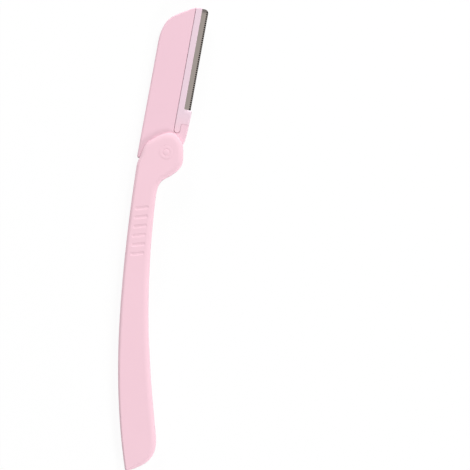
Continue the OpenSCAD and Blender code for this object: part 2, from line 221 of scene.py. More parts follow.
# Knots are (x, y, heading, rim). Headings are in degrees, anticlockwise round the piece.
# Shares are of the boss height round the boss, and of the width and length of the handle
# below it. The rim goes from the back rim at 0 to the front rim at 1, and past both.
BOSS_TOP_SHARES = (
    (0.13, 1, 180, 1.3),
    (-0.935, 0.385, 222, 0.7),
    (-1.195, -0.235, 260.5, 0.2),
    (-1.32, -0.92, 271.5, 0.05),
)
SHAFT_SHARES = (
    (-0.508, -0.486, 276, 0),
    (0.447, -0.992, 288.5, -0.48),
    (0.497, -0.997, 340, -0.68),
    (0.56, -0.9963, 390, -0.48),
    (0.834, -0.978, 394.5, 0.4),
    (1.161, -0.9358, 431.5, 0.8),
    (1.127, -0.8655, 466, 1),
    (0.291, -0.486, 460, 1),
    (-0.066, -0.145, 453.5, 1),
)
BOSS_SIDE_SHARES = (
    (0.165, -1.303, 396.5, 1),
    (0.879, -0.17, 460, 1),
    (0.585, 0.745, 492, 1.3),
)
# Knots of the spine are (x, y, heading), in shares of its distance and of the head's length
SPINE_SHARES = ((-0.094, 0.9755, 214.5), (-0.836, 0.866, 243.5), (-1, 0.72, 270))
SPINE_FOOT_SHARE = 1.01
# Places of the top, the hub and the tongue's side, in shares of the foot's distance
TOP_SHARE = 0.61
HUB_SHARE = 0.85
TONGUE_SHARE = 0.96


def rim_width(h, share):
    """Width of the handle's rim at a share from the back rim to the front rim."""
    return h.back_rim + (h.front_rim - h.back_rim) * share


def handle_knots(h):
    """Knots of the handle's outline, down its back and up its front."""

    def scaled(shares, width, height):
        return [(s[0] * width, s[1] * height, s[2], rim_width(h, s[3])) for s in shares]

    return (
        scaled(BOSS_TOP_SHARES, h.boss_r, h.boss_r)
        + scaled(SHAFT_SHARES, h.handle_w, h.handle_len)
        + scaled(BOSS_SIDE_SHARES, h.boss_r, h.boss_r)
    )


def head_knots(h):
    """Knots of the head's outline with the carrier in it, down the spine and up the edge."""
    hub_x = HUB_SHARE * h.edge_x
    foot_x = SPINE_FOOT_SHARE * h.spine_x
    spine_rims = (h.head_rim, h.spine_rim, h.spine_rim)
    spine = [
        (x * h.spine_x, y * h.head_len, heading, rim)
        for (x, y, heading), rim in zip(SPINE_SHARES, spine_rims)
    ]
    return [
        (TOP_SHARE * h.edge_x, h.head_len, 180, h.head_rim),
        *spine,
        (-foot_x, h.stop_corner_r - h.stop_drop, 270, h.spine_rim),
        (h.stop_corner_r - foot_x, -h.stop_drop, 360, h.head_rim),
        (hub_x - h.stop_drop, -h.stop_drop, 360, h.head_rim),
        (hub_x, 0, 450, h.head_rim),
        (hub_x, h.stop_drop, 432, h.head_rim),
        (TONGUE_SHARE * h.edge_x, h.foot_y - h.tongue_w, 447, h.head_rim),
        (h.edge_x, h.blade_y - h.lip_bevel, 450, h.head_rim),
        (h.edge_x, h.head_len - 2 * h.tip_r, 450, h.head_rim),
    ]


def along(degrees):
    """Unit vector of a heading."""
    return Vector((math.cos(math.radians(degrees)), math.sin(math.radians(degrees)), 0))


def traced(knots):
    """Closed outline through the knots, as (points, rims). Each stretch is one Bezier segment,
    an arc where its two ends allow one, and its rim eases from one knot to the next."""
    curve = bpy.data.curves.new("outline", "CURVE")
    curve.dimensions = "3D"
    spline = curve.splines.new("BEZIER")
    spline.bezier_points.add(len(knots) - 1)
    spline.use_cyclic_u = True
    spline.resolution_u = STRETCH_STEPS
    for i, knot in enumerate(knots):
        ahead = knots[(i + 1) % len(knots)]
        turn = ahead[2] - knot[2] + (360 if i == len(knots) - 1 else 0)
        start, end = Vector((knot[0], knot[1], 0)), Vector((ahead[0], ahead[1], 0))
        reach = (end - start).length / (3 * math.cos(math.radians(turn / 4)) ** 2)
        point = spline.bezier_points[i]
        following = spline.bezier_points[(i + 1) % len(knots)]
        for knot_point in (point, following):
            knot_point.handle_left_type = knot_point.handle_right_type = "FREE"
        point.co = start
        point.handle_right = start + reach * along(knot[2])
        following.handle_left = end - reach * along(ahead[2])
    holder = bpy.data.objects.new("outline", curve)
    mesh = bpy.data.meshes.new_from_object(holder)
    points = [v.co.copy() for v in mesh.vertices]
    rims = []
    for i in range(len(points)):
        k, t = divmod(i, STRETCH_STEPS)
        t /= STRETCH_STEPS
        ahead = knots[(k + 1) % len(knots)]
        rims.append(knots[k][3] + (ahead[3] - knots[k][3]) * t * t * (3 - 2 * t))
    bpy.data.objects.remove(holder)
    bpy.data.curves.remove(curve)
    bpy.data.meshes.remove(mesh)
    return points, rims


def ringed(bm, places):
    """A closed ring of edges through the places."""
    verts = [bm.verts.new(p) for p in places]
    edges = [bm.edges.new((v, verts[(i + 1) % len(verts)])) for i, v in enumerate(verts)]
    return verts, edges


def cornered(corners, rounds):
    """Closed outline of straight sides, anticlockwise, with the radius of each corner that is
    rounded."""
    bm = bmesh.new()
    verts, edges = ringed(bm, [(x, y, 0) for x, y in corners])
    bmesh.ops.contextual_create(bm, geom=edges)
    for i, radius in sorted(rounds.items()):
        bmesh.ops.bevel(
            bm,
            geom=[verts[i]],
            offset=radius,
            segments=CORNER_STEPS,
            profile=0.5,
            affect="VERTICES",
            clamp_overlap=False,
            material=-1,
        )
    bmesh.ops.remove_doubles(bm, verts=bm.verts, dist=CORNER_MERGED)
    bm.faces.ensure_lookup_table()
    face = bm.faces[0]
    face.normal_update()
    points = [v.co.copy() for v in face.verts]
    if face.normal.z < 0:
        points.reverse()
    bm.free()
    return points, [1] * len(points)


def mitres(points):
    """For each point of an anticlockwise outline, the move that insets its two sides by 1."""
    moves = []
    for i, here in enumerate(points):
        back = (here - points[i - 1]).normalized()
        ahead = (points[(i + 1) % len(points)] - here).normalized()
        a, b = Vector((-back.y, back.x, 0)), Vector((-ahead.y, ahead.x, 0))
        moves.append((a + b) / (1 + a.dot(b)))
    return moves


def lofted(outline, levels):
    """Solid whose rings follow the outline. A level is (height, share of the rim, inset), and
    each ring is extruded from the one below it and drawn inwards."""
    points, rims = outline
    moves = mitres(points)
    bm = bmesh.new()
    station = bm.verts.layers.int.new("station")

    def spot(i, level):
        place = points[i] + moves[i] * (rims[i] * level[1] + level[2])
        return Vector((place.x, place.y, level[0]))

    verts, ring = ringed(bm, [spot(i, levels[0]) for i in range(len(points))])
    for i, v in enumerate(verts):
        v[station] = i
    bmesh.ops.contextual_create(bm, geom=ring)
    for level in levels[1:]:
        grown = bmesh.ops.extrude_edge_only(bm, edges=ring)["geom"]
        fresh = {g for g in grown if isinstance(g, bmesh.types.BMVert)}
        for v in fresh:
            v.co = spot(v[station], level)
        ring = [
            g for g in grown if isinstance(g, bmesh.types.BMEdge) and set(g.verts) <= fresh
        ]
    bmesh.ops.contextual_create(bm, geom=ring)
    bmesh.ops.recalc_face_normals(bm, faces=bm.faces)
    return bm


def rim_levels(face, height):
    """Levels of a rounded rim from its face to its foot, which lies a height above the face,
    or below it where the height is negative."""
    turns = [math.radians(90 * i / RIM_STEPS) for i in range(RIM_STEPS + 1)]
    return [(face + height * (1 - math.cos(a)), 1 - math.sin(a), 0) for a in turns]


def mirrored(low, high, levels):
    """The levels of an upper half with the lower half below them."""
    return [(low + high - z, share, move) for z, share, move in reversed(levels)] + levels


def flared(low, high, radius, side, open_half=0, depth=0):
    """Levels of an upright wall between two faces, with its edges at the faces rounded over.
    Side -1 makes a cutter that flares out at the faces and 1 a body that draws in. Down to a
    depth, where one is given, the wall stands off the outline by half a gap. The outline's
    rims are shares that scale the gap and the rounding."""
    turns = [math.radians(a) for a in range(0, 90, 20)]
    rise = [(radius * (1 - math.cos(a)), radius * (1 - math.sin(a))) for a in turns]
    levels = [(high - depth, 0, 0), (high - depth, side * open_half, 0)] if depth else []
    levels += [(high - drop, side * (open_half + draw), 0) for draw, drop in rise]
    levels.append((high, side * (open_half + radius), 0))
    levels.append((high + OVER, side * (open_half + radius * FLARE), 0))
    return mirrored(low, high, levels)


def sloped(low, high, steps):
    """Levels of a cutter that slopes the edges of a wall at both faces. A step is how far it
    lies below the face and off the wall, and past the face the last slope goes on."""
    levels = [(high - drop, 0, -width) for drop, width in steps]
    drop, inner = steps[-2]
    outer = steps[-1][1]
    levels.append((high + OVER, 0, -outer - OVER * (outer - inner) / drop))
    return mirrored(low, high, levels)


def through(outline, middle):
    """Solid with upright walls along an outline, past both faces of the metal."""
    return lofted(outline, [(middle - OVER, 0, 0), (middle + OVER, 0, 0)])


# ---------------- solids


def spun(profile, steps=TURN_STEPS, start=0):
    """Solid turned round the Z axis from a profile of (radius, height), both ends on the axis
    or closed by a flat cap. The profile starts at an angle from the X axis."""
    bm = bmesh.new()
    verts = [bm.verts.new((r, 0, z)) for r, z in profile]
    edges = [bm.edges.new(pair) for pair in zip(verts, verts[1:])]
    bmesh.ops.rotate(bm, verts=verts, cent=(0, 0, 0), matrix=Matrix.Rotation(start, 3, "Z"))
    geom = verts + edges
    bmesh.ops.spin(
        bm, geom=geom, cent=(0, 0, 0), axis=(0, 0, 1), angle=math.tau, steps=steps, use_merge=True
    )
    bmesh.ops.remove_doubles(bm, verts=bm.verts, dist=MERGED)
    open_edges = [e for e in bm.edges if e.is_boundary]
    if open_edges:
        bmesh.ops.holes_fill(bm, edges=open_edges)
    bmesh.ops.recalc_face_normals(bm, faces=bm.faces)
    return bm


def disc(radius, low, high):
    """Upright cylinder round the pivot."""
    return spun([(0, low), (radius, low), (radius, high), (0, high)], FINE_TURN_STEPS)


def placed(bm, matrix):
    """The solid, turned and moved."""
    bmesh.ops.transform(bm, matrix=matrix, verts=bm.verts)
    return bm


def block(low, high):
    """Box between two corners."""
    bm = bmesh.new()
    bmesh.ops.create_cube(bm, size=1)
    low, high = Vector(low), Vector(high)
    bmesh.ops.scale(bm, vec=high - low, verts=bm.verts)
    bmesh.ops.translate(bm, vec=(low + high) / 2, verts=bm.verts)
    return bm


def held(bm, name):
    """An object that holds a bmesh, which is freed."""
    mesh = bpy.data.meshes.new(name)
    bm.to_mesh(mesh)
    bm.free()
    holder = bpy.data.objects.new(name, mesh)
    bpy.context.scene.collection.objects.link(holder)
    return holder


def joined_by(operation, bm, tool):
    """Boolean of two solids, both used up."""
    body, cutter = held(bm, "body"), held(tool, "cutter")
    modifier = body.modifiers.new("cut", "BOOLEAN")
    modifier.operation = operation
    modifier.solver = "EXACT"
    modifier.object = cutter
    depsgraph = bpy.context.evaluated_depsgraph_get()
    mesh = bpy.data.meshes.new_from_object(body.evaluated_get(depsgraph))
    result = bmesh.new()
    result.from_mesh(mesh)
    for spare in (body.data, cutter.data, mesh):
        bpy.data.meshes.remove(spare)
    bmesh.ops.remove_doubles(result, verts=result.verts, dist=MERGED)
    bmesh.ops.dissolve_degenerate(result, edges=result.edges, dist=MERGED)
    return result


def cut(bm, tool):
    """The solid without the tool's."""
    return joined_by("DIFFERENCE", bm, tool)


def finished(bm, name, body, nodes, material, crease):
    """The finished piece: its mesh in metres, shaded smooth up to the crease angle, riding on
    its body in place of its CAD nodes."""
    bmesh.ops.scale(bm, vec=(MM, MM, MM), verts=bm.verts)
    piece = held(bm, name)
    mesh = piece.data
    mesh.shade_smooth()
    mesh.set_sharp_from_angle(angle=math.radians(crease))
    normals = piece.modifiers.new("face_normals", "WEIGHTED_NORMAL")
    normals.keep_sharp = True
    mesh.materials.append(material)
    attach(piece, body)
    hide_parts(*nodes)
    return piece


# ---------------- materials


def add(tree, kind, settings=None, links=None):
    """Adds a node with its settings and links. Sockets go by identifier or name."""
    node = tree.nodes.new(kind)

    def socket(key):
        return next((s for s in node.inputs if key in (s.identifier, s.name)), None)

    for key, value in (settings or {}).items():
        if socket(key) is None:
            setattr(node, key, value)
        else:
            socket(key).default_value = value
    for key, source in (links or {}).items():
        tree.links.new(source, socket(key))
    return node


def result_colour(mix):
    """The colour output of a Mix node."""
    return next(o for o in mix.outputs if o.identifier == "Result_Color")


def blank_tree(owner):
    """The node tree of a material or a world, with nothing in it."""
    owner.use_nodes = True
    owner.node_tree.nodes.clear()
    return owner.node_tree


def varied(tree, tint, share, pattern):
    """A tint that a pattern makes darker and lighter by a share."""

    def shaded(change):
        return (*[min(1, c * (1 + change)) for c in tint], 1)

    mix = add(
        tree,
        "ShaderNodeMix",
        {"data_type": "RGBA", "A_Color": shaded(-share), "B_Color": shaded(share)},
        {"Factor_Float": pattern},
    )
    return result_colour(mix)


def turned_to(tree, base, tint, spot, from_y, to_y):
    """A colour that turns into a tint on the way from one height to another, in millimetres."""
    place = add(tree, "ShaderNodeSeparateXYZ", {}, {"Vector": spot})
    share = add(
        tree,
        "ShaderNodeMapRange",
        {"interpolation_type": "SMOOTHSTEP", "From Min": from_y * MM, "From Max": to_y * MM},
        {"Value": place.outputs["Y"]},
    )
    mix = add(
        tree,
        "ShaderNodeMix",
        {"data_type": "RGBA", "B_Color": (*tint, 1)},
        {"Factor_Float": share.outputs["Result"], "A_Color": base},
    )
    return result_colour(mix)


def skinned(tree, settings, base, finish, bumps):
    """Ends the tree of a plastic or metal with its shader. The finish is its roughness, by how
    much that varies and with which pattern. A bump is a pattern and its depth in millimetres."""
    roughness, haze, pattern = finish
    links = {}
    for height, depth_mm in bumps:
        links["Height"] = height
        bump = add(tree, "ShaderNodeBump", {"Distance": depth_mm * MM}, links)
        links = {"Normal": bump.outputs["Normal"]}
    sheen = add(
        tree,
        "ShaderNodeMapRange",
        {"To Min": roughness - haze, "To Max": roughness + haze},
        {"Value": pattern},
    )
    links.update({"Base Color": base, "Roughness": sheen.outputs["Result"]})
    skin = add(tree, "ShaderNodeBsdfPrincipled", settings, links)
    add(tree, "ShaderNodeOutputMaterial", {}, {"Surface": skin.outputs["BSDF"]})


def moulded_plastic(name, tint, roughness, low_tint=None, low_y=0, high_y=0):
    """Injection-moulded polypropylene: an even, slightly waxy colour with a soft sheen. The
    flow of the melt leaves faint clouds in the tint, and the mould's polish a fine grain.
    Where a lower tint is given, it fades out between two heights in millimetres."""
    cloudiness, haze = 0.02, 0.05
    grain_depth_mm, sink_depth_mm = 0.0025, 0.03
    # Width in millimetres and detail of the clouds, of the grain, and of the sink marks where
    # the walls draw in a little. The real grain is about 0.05 mm, too fine for the picture,
    # so it is drawn at 0.5 mm.
    patterns = ((16, 3), (0.5, 2), (9, 1))
    material = bpy.data.materials.new(name)
    tree = blank_tree(material)
    spot = add(tree, "ShaderNodeTexCoord").outputs["Object"]
    cloud, grain, sink = (
        add(
            tree,
            "ShaderNodeTexNoise",
            {"Scale": 1 / (width_mm * MM), "Detail": detail},
            {"Vector": spot},
        ).outputs["Fac"]
        for width_mm, detail in patterns
    )
    base = varied(tree, tint, cloudiness, cloud)
    if low_tint:
        base = turned_to(tree, base, low_tint, spot, high_y, low_y)
    bumps = ((sink, sink_depth_mm), (grain, grain_depth_mm))
    skinned(tree, {"IOR": 1.49}, base, (roughness, haze, grain), bumps)
    return material


def rolled_steel(name, tint, end_tint, end_y, end_w, roughness, line_mm):
    """Cold-rolled stainless steel: a grey, slightly warm metal whose fine rolling lines run along
    the strip, so it reflects in soft streaks. Over its last stretch, up to a height in
    millimetres, the strip fades into another tint. Real lines are a few hundredths of a
    millimetre apart, so they are drawn coarser, to show."""
    streak_mm, line_depth_mm = 12, 0.004
    streakiness, haze = 0.12, 0.08
    full_tint_share = 0.25
    material = bpy.data.materials.new(name)
    tree = blank_tree(material)
    spot = add(tree, "ShaderNodeTexCoord").outputs["Object"]
    lengthways = add(
        tree,
        "ShaderNodeMapping",
        {"Scale": (1 / (line_mm * MM), 1 / (streak_mm * MM), 1 / (line_mm * MM))},
        {"Vector": spot},
    )
    lines = add(
        tree,
        "ShaderNodeTexNoise",
        {"Scale": 1, "Detail": 4, "Roughness": 0.6},
        {"Vector": lengthways.outputs["Vector"]},
    ).outputs["Fac"]
    base = varied(tree, tint, streakiness, lines)
    settled_y = end_y - full_tint_share * end_w
    base = turned_to(tree, base, end_tint, spot, end_y - end_w, settled_y)
    bumps = [(lines, line_depth_mm)]
    skinned(tree, {"Metallic": 1.0}, base, (roughness, haze, lines), bumps)
    return material


# ---------------- handle

# Middles of the grooves, as a share across the handle from its back edge
GROOVE_SHARE = 0.48
# A scoop starts flat, stops at a share of the angle at which it would meet the face, and
# eases out in shares of the ease and of the depth that is left
SCOOP_FLAT_R = 0.04
SCOOP_SHARE = 0.92
SCOOP_STEPS = 6
SCOOP_EASE = 0.22
SCOOP_EDGE = ((0.35, 0.55), (0.7, 0.85), (1.1, 1))
SCOOP_TURN_STEPS = 24
# Its cutter widens by this much just above the face
SCOOP_FLARE, SCOOP_FLARE_Z = 0.1, 0.02
# Clearance round the pin, the eased edges of its seat and shank, and its ring's steps
PIN_FIT = 0.01
EDGE_EASE = 0.03
SHANK_EASE = 0.12
RING_STEPS = 8


def across_handle(outline, y, share):
    """Place across the handle at a height: 0 is the back edge and 1 the front edge."""
    points = outline[0]
    crossings = []
    for i, here in enumerate(points):
        before = points[i - 1]
        if (before.y - y) * (here.y - y) <= 0 and here.y != before.y:
            t = (y - before.y) / (here.y - before.y)
            crossings.append(before.x + t * (here.x - before.x))
    back, front = min(crossings), max(crossings)
    return back + share * (front - back)


def half_shell(h, outline):
    """Front half of the handle with its side of the slot, outer face up."""
    split = h.handle_t / 2
    levels = [(split, 0, h.parting), (split + h.parting, 0, 0)]
    levels += reversed(rim_levels(h.handle_t, -h.rim_h))
    bm = lofted(outline, levels)
    head = in_mm(bpy.context.scene.razor_head)
    gap = bpy.context.scene.razor_stop_gap / MM
    room = bpy.context.scene.razor_tip_room / MM
    reach = PAST_SIDE * h.handle_w
    low, high = h.cheek_t, h.handle_t - h.cheek_t
    above = block((-reach, -head.stop_drop - gap, low), (reach, reach, high))
    wall_x = head.edge_x + gap
    folded = block((wall_x - reach, 0, low), (wall_x, head.head_len + room, high))
    placed(folded, Matrix.Rotation(-h.fold_angle, 4, "Z"))
    hub = disc(h.hub_r + (high - low - head.head_t) / 2, low, high)
    for tool in (above, folded, hub):
        bm = cut(bm, tool)
    return bm


def groove_tool(h):
    """Cutter of one grip groove: a scoop with round ends whose edges are eased."""
    centre_z = h.groove_r - h.groove_depth
    widest = math.acos(centre_z / h.groove_r) * SCOOP_SHARE
    profile = []
    for i in range(SCOOP_STEPS + 1):
        a = widest * i / SCOOP_STEPS
        radius = max(SCOOP_FLAT_R, h.groove_r * math.sin(a))
        profile.append((radius, centre_z - h.groove_r * math.cos(a)))
    rim_r, rim_z = profile[-1]
    for share, rise in SCOOP_EDGE:
        profile.append((rim_r + SCOOP_EASE * share, rim_z * (1 - rise)))
    flare_r = profile[-1][0] + SCOOP_FLARE
    profile += [(flare_r, SCOOP_FLARE_Z), (flare_r, OVER / 2)]
    bm = spun(profile, SCOOP_TURN_STEPS, math.pi / SCOOP_TURN_STEPS)
    for v in bm.verts:
        v.co.x += math.copysign(h.groove_len / 2, v.co.x)
    return bm


class RAZOR_OT_handle(bpy.types.Operator):
    """Builds the two moulded halves of the handle"""

    bl_idname = "razor.handle"
    bl_label = "Handle"

    def execute(self, context):
        h = in_mm(context.scene.razor_handle)
        tint = context.scene.razor_colours.handle
        # A finely textured mould, so the pink looks even with a broad soft sheen
        plastic = moulded_plastic("moulded_polypropylene_handle", tint, roughness=0.42)
        outline = traced(handle_knots(h))
        front = half_shell(h, outline)
        floor = h.handle_t - h.pin_sink - h.pin_head_t
        shank_r, seat_r = h.pin_r + PIN_FIT, h.pin_head_r + PIN_FIT
        bore = [
            (shank_r, h.cheek_t),
            (shank_r, floor),
            (seat_r, floor),
            (seat_r, h.handle_t - EDGE_EASE),
            (seat_r + DIAGONAL * EDGE_EASE, h.handle_t - DIAGONAL * EDGE_EASE),
            (seat_r + EDGE_EASE, h.handle_t),
            (seat_r + FLARE * EDGE_EASE, h.handle_t + OVER / 2),
        ]
        front = cut(front, spun(bore, FINE_TURN_STEPS))
        for i in range(h.groove_count):
            y = -h.groove_start - i * h.groove_pitch
            place = Vector((across_handle(outline, y, GROOVE_SHARE), y, h.handle_t))
            turn = Matrix.Rotation(h.groove_slant, 4, "Z")
            front = cut(front, placed(groove_tool(h), Matrix.Translation(place) @ turn))
        back = half_shell(h, outline)
        bmesh.ops.scale(back, vec=(1, 1, -1), verts=back.verts)
        bmesh.ops.translate(back, vec=(0, 0, h.handle_t), verts=back.verts)
        bmesh.ops.recalc_face_normals(back, faces=back.faces)
        for side, half in (("front", front), ("back", back)):
            name, nodes = side + "_half", ["handle_" + side]
            finished(half, name, "handle", nodes, plastic, crease=32)
        return {"FINISHED"}


class RAZOR_OT_pin(bpy.types.Operator):
    """Builds the pivot pin"""

    bl_idname = "razor.pin"
    bl_label = "Pivot pin"

    def execute(self, context):
        h = in_mm(context.scene.razor_handle)
        tint = context.scene.razor_colours.handle
        # Moulded against smoother steel than the handle, so its face is a little glossier
        plastic = moulded_plastic("moulded_polypropylene_pin", tint, roughness=0.36)
        top = h.handle_t - h.pin_sink
        bottom = h.cheek_t - h.pin_seat
        profile = [
            (0, bottom),
            (h.pin_r - SHANK_EASE, bottom),
            (h.pin_r, bottom + SHANK_EASE),
            (h.pin_r, top - h.pin_head_t),
            (h.pin_head_r, top - h.pin_head_t),
            (h.pin_head_r, top - EDGE_EASE),
            (h.pin_head_r - DIAGONAL * EDGE_EASE, top - DIAGONAL * EDGE_EASE),
            (h.pin_head_r - EDGE_EASE, top),
        ]
        for i in range(RING_STEPS + 1):
            sunk = h.ring_depth * (1 - math.cos(math.tau * i / RING_STEPS)) / 2
            profile.append((h.ring_r + h.ring_w * (0.5 - i / RING_STEPS), top - sunk))
        profile.append((0, top))
        pin = spun(profile, FINE_TURN_STEPS)
        finished(pin, "pin", "handle", ["pivot_pin"], plastic, crease=35)
        return {"FINISHED"}


# ---------------- head

# Clearance round the pin, and at both ends of the metal
PIN_CLEARANCE = 0.05
METAL_CLEARANCE = 0.02
# Rounded corners of the metal's lower inner end, and between the tongue and the foot
METAL_CORNER_R = 0.15
FOOT_CORNER_R = 0.3
# The seam is widest round the tongue's end, up to a share of its radius, and tight along
# the foot
SEAM_AT_END, SEAM_INSIDE, SEAM_OUTSIDE, SEAM_AT_FOOT = 1.4, 1, 0.45, 0.25
END_SHARE = 0.6
# The bevel below the metal turns into the shallow slope at this share of its drop
SLOPE_SHARE = 0.36
# Half the thickness left at the blade's edge, and the steps of the guard's fold in degrees
KEEN_HALF, FOLD_STEP = 0.01, 15
# The gaps stop at this share of the metal's corner radius from its end, and the ends of a
# gap are rounded by this share of half its width
TIP_SHARE = 2 / 3
GAP_ROUND_SHARE = 0.6
# Parts of a face's normal above which it counts as turned or as tilted that way
TURNED, TILTED = 0.5, 0.3


def head_blank(h, low, high):
    """Head plate with the carrier still a part of it."""
    levels = rim_levels(low, h.head_rim_h) + rim_levels(high, -h.head_rim_h)[::-1]
    return lofted(traced(head_knots(h)), levels)


def carrier_outline(h):
    """Outline of the carrier's notch with its round tongue and its foot, and for each point
    the share of the seam's width."""
    far, top = PAST_SIDE * h.edge_x, h.head_len + PAST_TOP
    tongue_x = h.seam_x + h.tongue_w
    corners = [(h.seam_x, top), (h.seam_x, h.tongue_y), (tongue_x, h.tongue_y)]
    corners += [(tongue_x, h.foot_y), (far, h.foot_y), (far, top)]
    # A hair less than half the width, so that the end's two rounds don't meet
    tongue_r = h.tongue_w / 2 - 0.001
    points = cornered(corners, {1: tongue_r, 2: tongue_r, 3: FOOT_CORNER_R})[0]

    def seam_share(point):
        if point.y < h.tongue_y + END_SHARE * tongue_r:
            return SEAM_AT_END
        if point.x < tongue_x - tongue_r:
            return SEAM_INSIDE
        return SEAM_OUTSIDE if point.y < h.foot_y - CORNER_MERGED else SEAM_AT_FOOT

    return points, [seam_share(p) for p in points]


class RAZOR_OT_head(bpy.types.Operator):
    """Builds the head plate and the carrier set into it"""

    bl_idname = "razor.head"
    bl_label = "Head plate and carrier"

    def execute(self, context):
        h = in_mm(context.scene.razor_head)
        k = in_mm(context.scene.razor_handle)
        tints = context.scene.razor_colours
        low = (k.handle_t - h.head_t) / 2
        high = low + h.head_t
        seam = carrier_outline(h)

        def notch(side):
            """The carrier's notch: a cutter with side -1, and what fills it with side 1."""
            walls = flared(low, high, h.seam_round, side, h.seam_gap / 2, h.seam_depth)
            return lofted(seam, walls)

        arm = joined_by("UNION", head_blank(h, low, high), disc(k.hub_r, low, high))
        arm = cut(arm, notch(-1))
        bore_r = k.pin_r + PIN_CLEARANCE
        arm = cut(arm, spun([(bore_r, low - OVER), (bore_r, high + OVER)]))
        # A slightly smoother mould than the handle's, and a little deeper in colour
        plastic = moulded_plastic("moulded_polypropylene_head", tints.arm, roughness=0.4)
        finished(arm, "head_plate", "head", ["blade_arm"], plastic, crease=32)

        strip = joined_by("INTERSECT", head_blank(h, low, high), notch(1))
        far, top = PAST_SIDE * h.edge_x, h.head_len + PAST_TOP
        bed_y = h.blade_y - METAL_CLEARANCE

        def bed(side_x, rounds):
            """Outline of the room for the metal, from a side out past the edge."""
            return cornered([(side_x, top), (side_x, bed_y), (far, bed_y), (far, top)], rounds)

        bare = bed(h.metal_x, {1: METAL_CORNER_R})
        strip = cut(strip, lofted(bare, flared(low, high, h.lip_bevel, -1)))
        slope = (
            (h.end_drop, 0),
            (h.end_drop * SLOPE_SHARE, h.end_bevel),
            (0, h.end_bevel + h.end_ease),
        )
        end = bed(h.metal_x + h.end_bevel + h.end_ease, {})
        strip = cut(strip, lofted(end, sloped(low, high, slope)))
        split = (low + high) / 2
        pocket = block(
            (h.pocket_x, bed_y, split - h.pocket_half),
            (far, h.head_len - h.blade_end + METAL_CLEARANCE, split + h.pocket_half),
        )
        strip = cut(strip, pocket)
        # Paler and glossier than the plate. The tongue is so thin that pink shines through.
        paler = moulded_plastic(
            "moulded_polypropylene_carrier",
            tints.carrier,
            roughness=0.36,
            low_tint=tints.tongue,
            low_y=h.tongue_y,
            high_y=h.blade_y,
        )
        piece = finished(
            strip, "carrier", "head", ["blade_carrier"], paler, crease=24
        )
        # The bevel below the metal gets a paler tint: a painted highlight along it
        lip_highlight = moulded_plastic("polypropylene_lip_painted_highlight", tints.lip_highlight, roughness=0.36)
        piece.data.materials.append(lip_highlight)
        for face in piece.data.polygons:
            below = h.blade_y - h.end_bevel < face.center.y / MM < h.blade_y
            tilted = face.normal.y > TURNED and abs(face.normal.z) > TILTED
            face.material_index = int(below and tilted)
        return {"FINISHED"}


def strip_outline(h):
    """Outline that trims the metal: its outer top corner is rounded."""
    top = h.head_len - h.blade_end
    corners = [(0, h.blade_y), (h.guard_x, h.blade_y), (h.guard_x, top), (0, top)]
    return cornered(corners, {1: METAL_CORNER_R, 2: h.tip_r})


def strip_bar(h, profile, split):
    """Bar of the metal with a closed profile of (x, z), trimmed to the strip's outline."""
    low, high = h.blade_y - OVER, h.head_len + OVER
    bm = bmesh.new()
    edges = ringed(bm, [(x, low, z) for x, z in profile])[1]
    face = bmesh.ops.contextual_create(bm, geom=edges)["faces"]
    grown = bmesh.ops.extrude_face_region(bm, geom=face)["geom"]
    verts = [g for g in grown if isinstance(g, bmesh.types.BMVert)]
    bmesh.ops.translate(bm, vec=(0, high - low, 0), verts=verts)
    bmesh.ops.recalc_face_normals(bm, faces=bm.faces)
    return joined_by("INTERSECT", bm, through(strip_outline(h), split))


def folded_foil(h, split):
    """Foil of the guard, folded round the edge, before its gaps are cut."""
    fold_x = h.guard_x - h.guard_half
    inner = h.guard_half - h.foil_t
    turns = [math.radians(a) for a in range(-90, 91, FOLD_STEP)]

    def folded(radius, angles):
        return [(fold_x + radius * math.cos(a), split + radius * math.sin(a)) for a in angles]

    profile = [
        (h.guard_back, split - h.guard_half),
        *folded(h.guard_half, turns),
        (h.guard_back, split + h.guard_half),
        (h.guard_back, split + inner),
        *folded(inner, reversed(turns)),
        (h.guard_back, split - inner),
    ]
    return strip_bar(h, profile, split)


def tooth_gaps(h, split):
    """Cutter of all the gaps between the guard's teeth, each with a round inner end."""
    first = h.blade_y + h.tooth_lead
    last = h.head_len - h.blade_end - TIP_SHARE * h.tip_r
    count = int((last - first) / h.tooth_pitch) + 1
    end_x = h.guard_x - h.tooth_depth
    out_x = end_x + 2 * OVER
    half = h.tooth_gap / 2
    corners = [(end_x, -half), (out_x, -half), (out_x, half), (end_x, half)]
    end_r = GAP_ROUND_SHARE * half
    one = through(cornered(corners, {0: end_r, 3: end_r}), split)
    mesh = bpy.data.meshes.new("gap")
    one.to_mesh(mesh)
    one.free()
    bm = bmesh.new()
    for i in range(count):
        bm.from_mesh(mesh)
        fresh = bm.verts[-len(mesh.vertices) :]
        bmesh.ops.translate(bm, vec=(0, first + i * h.tooth_pitch, 0), verts=fresh)
    bpy.data.meshes.remove(mesh)
    return bm


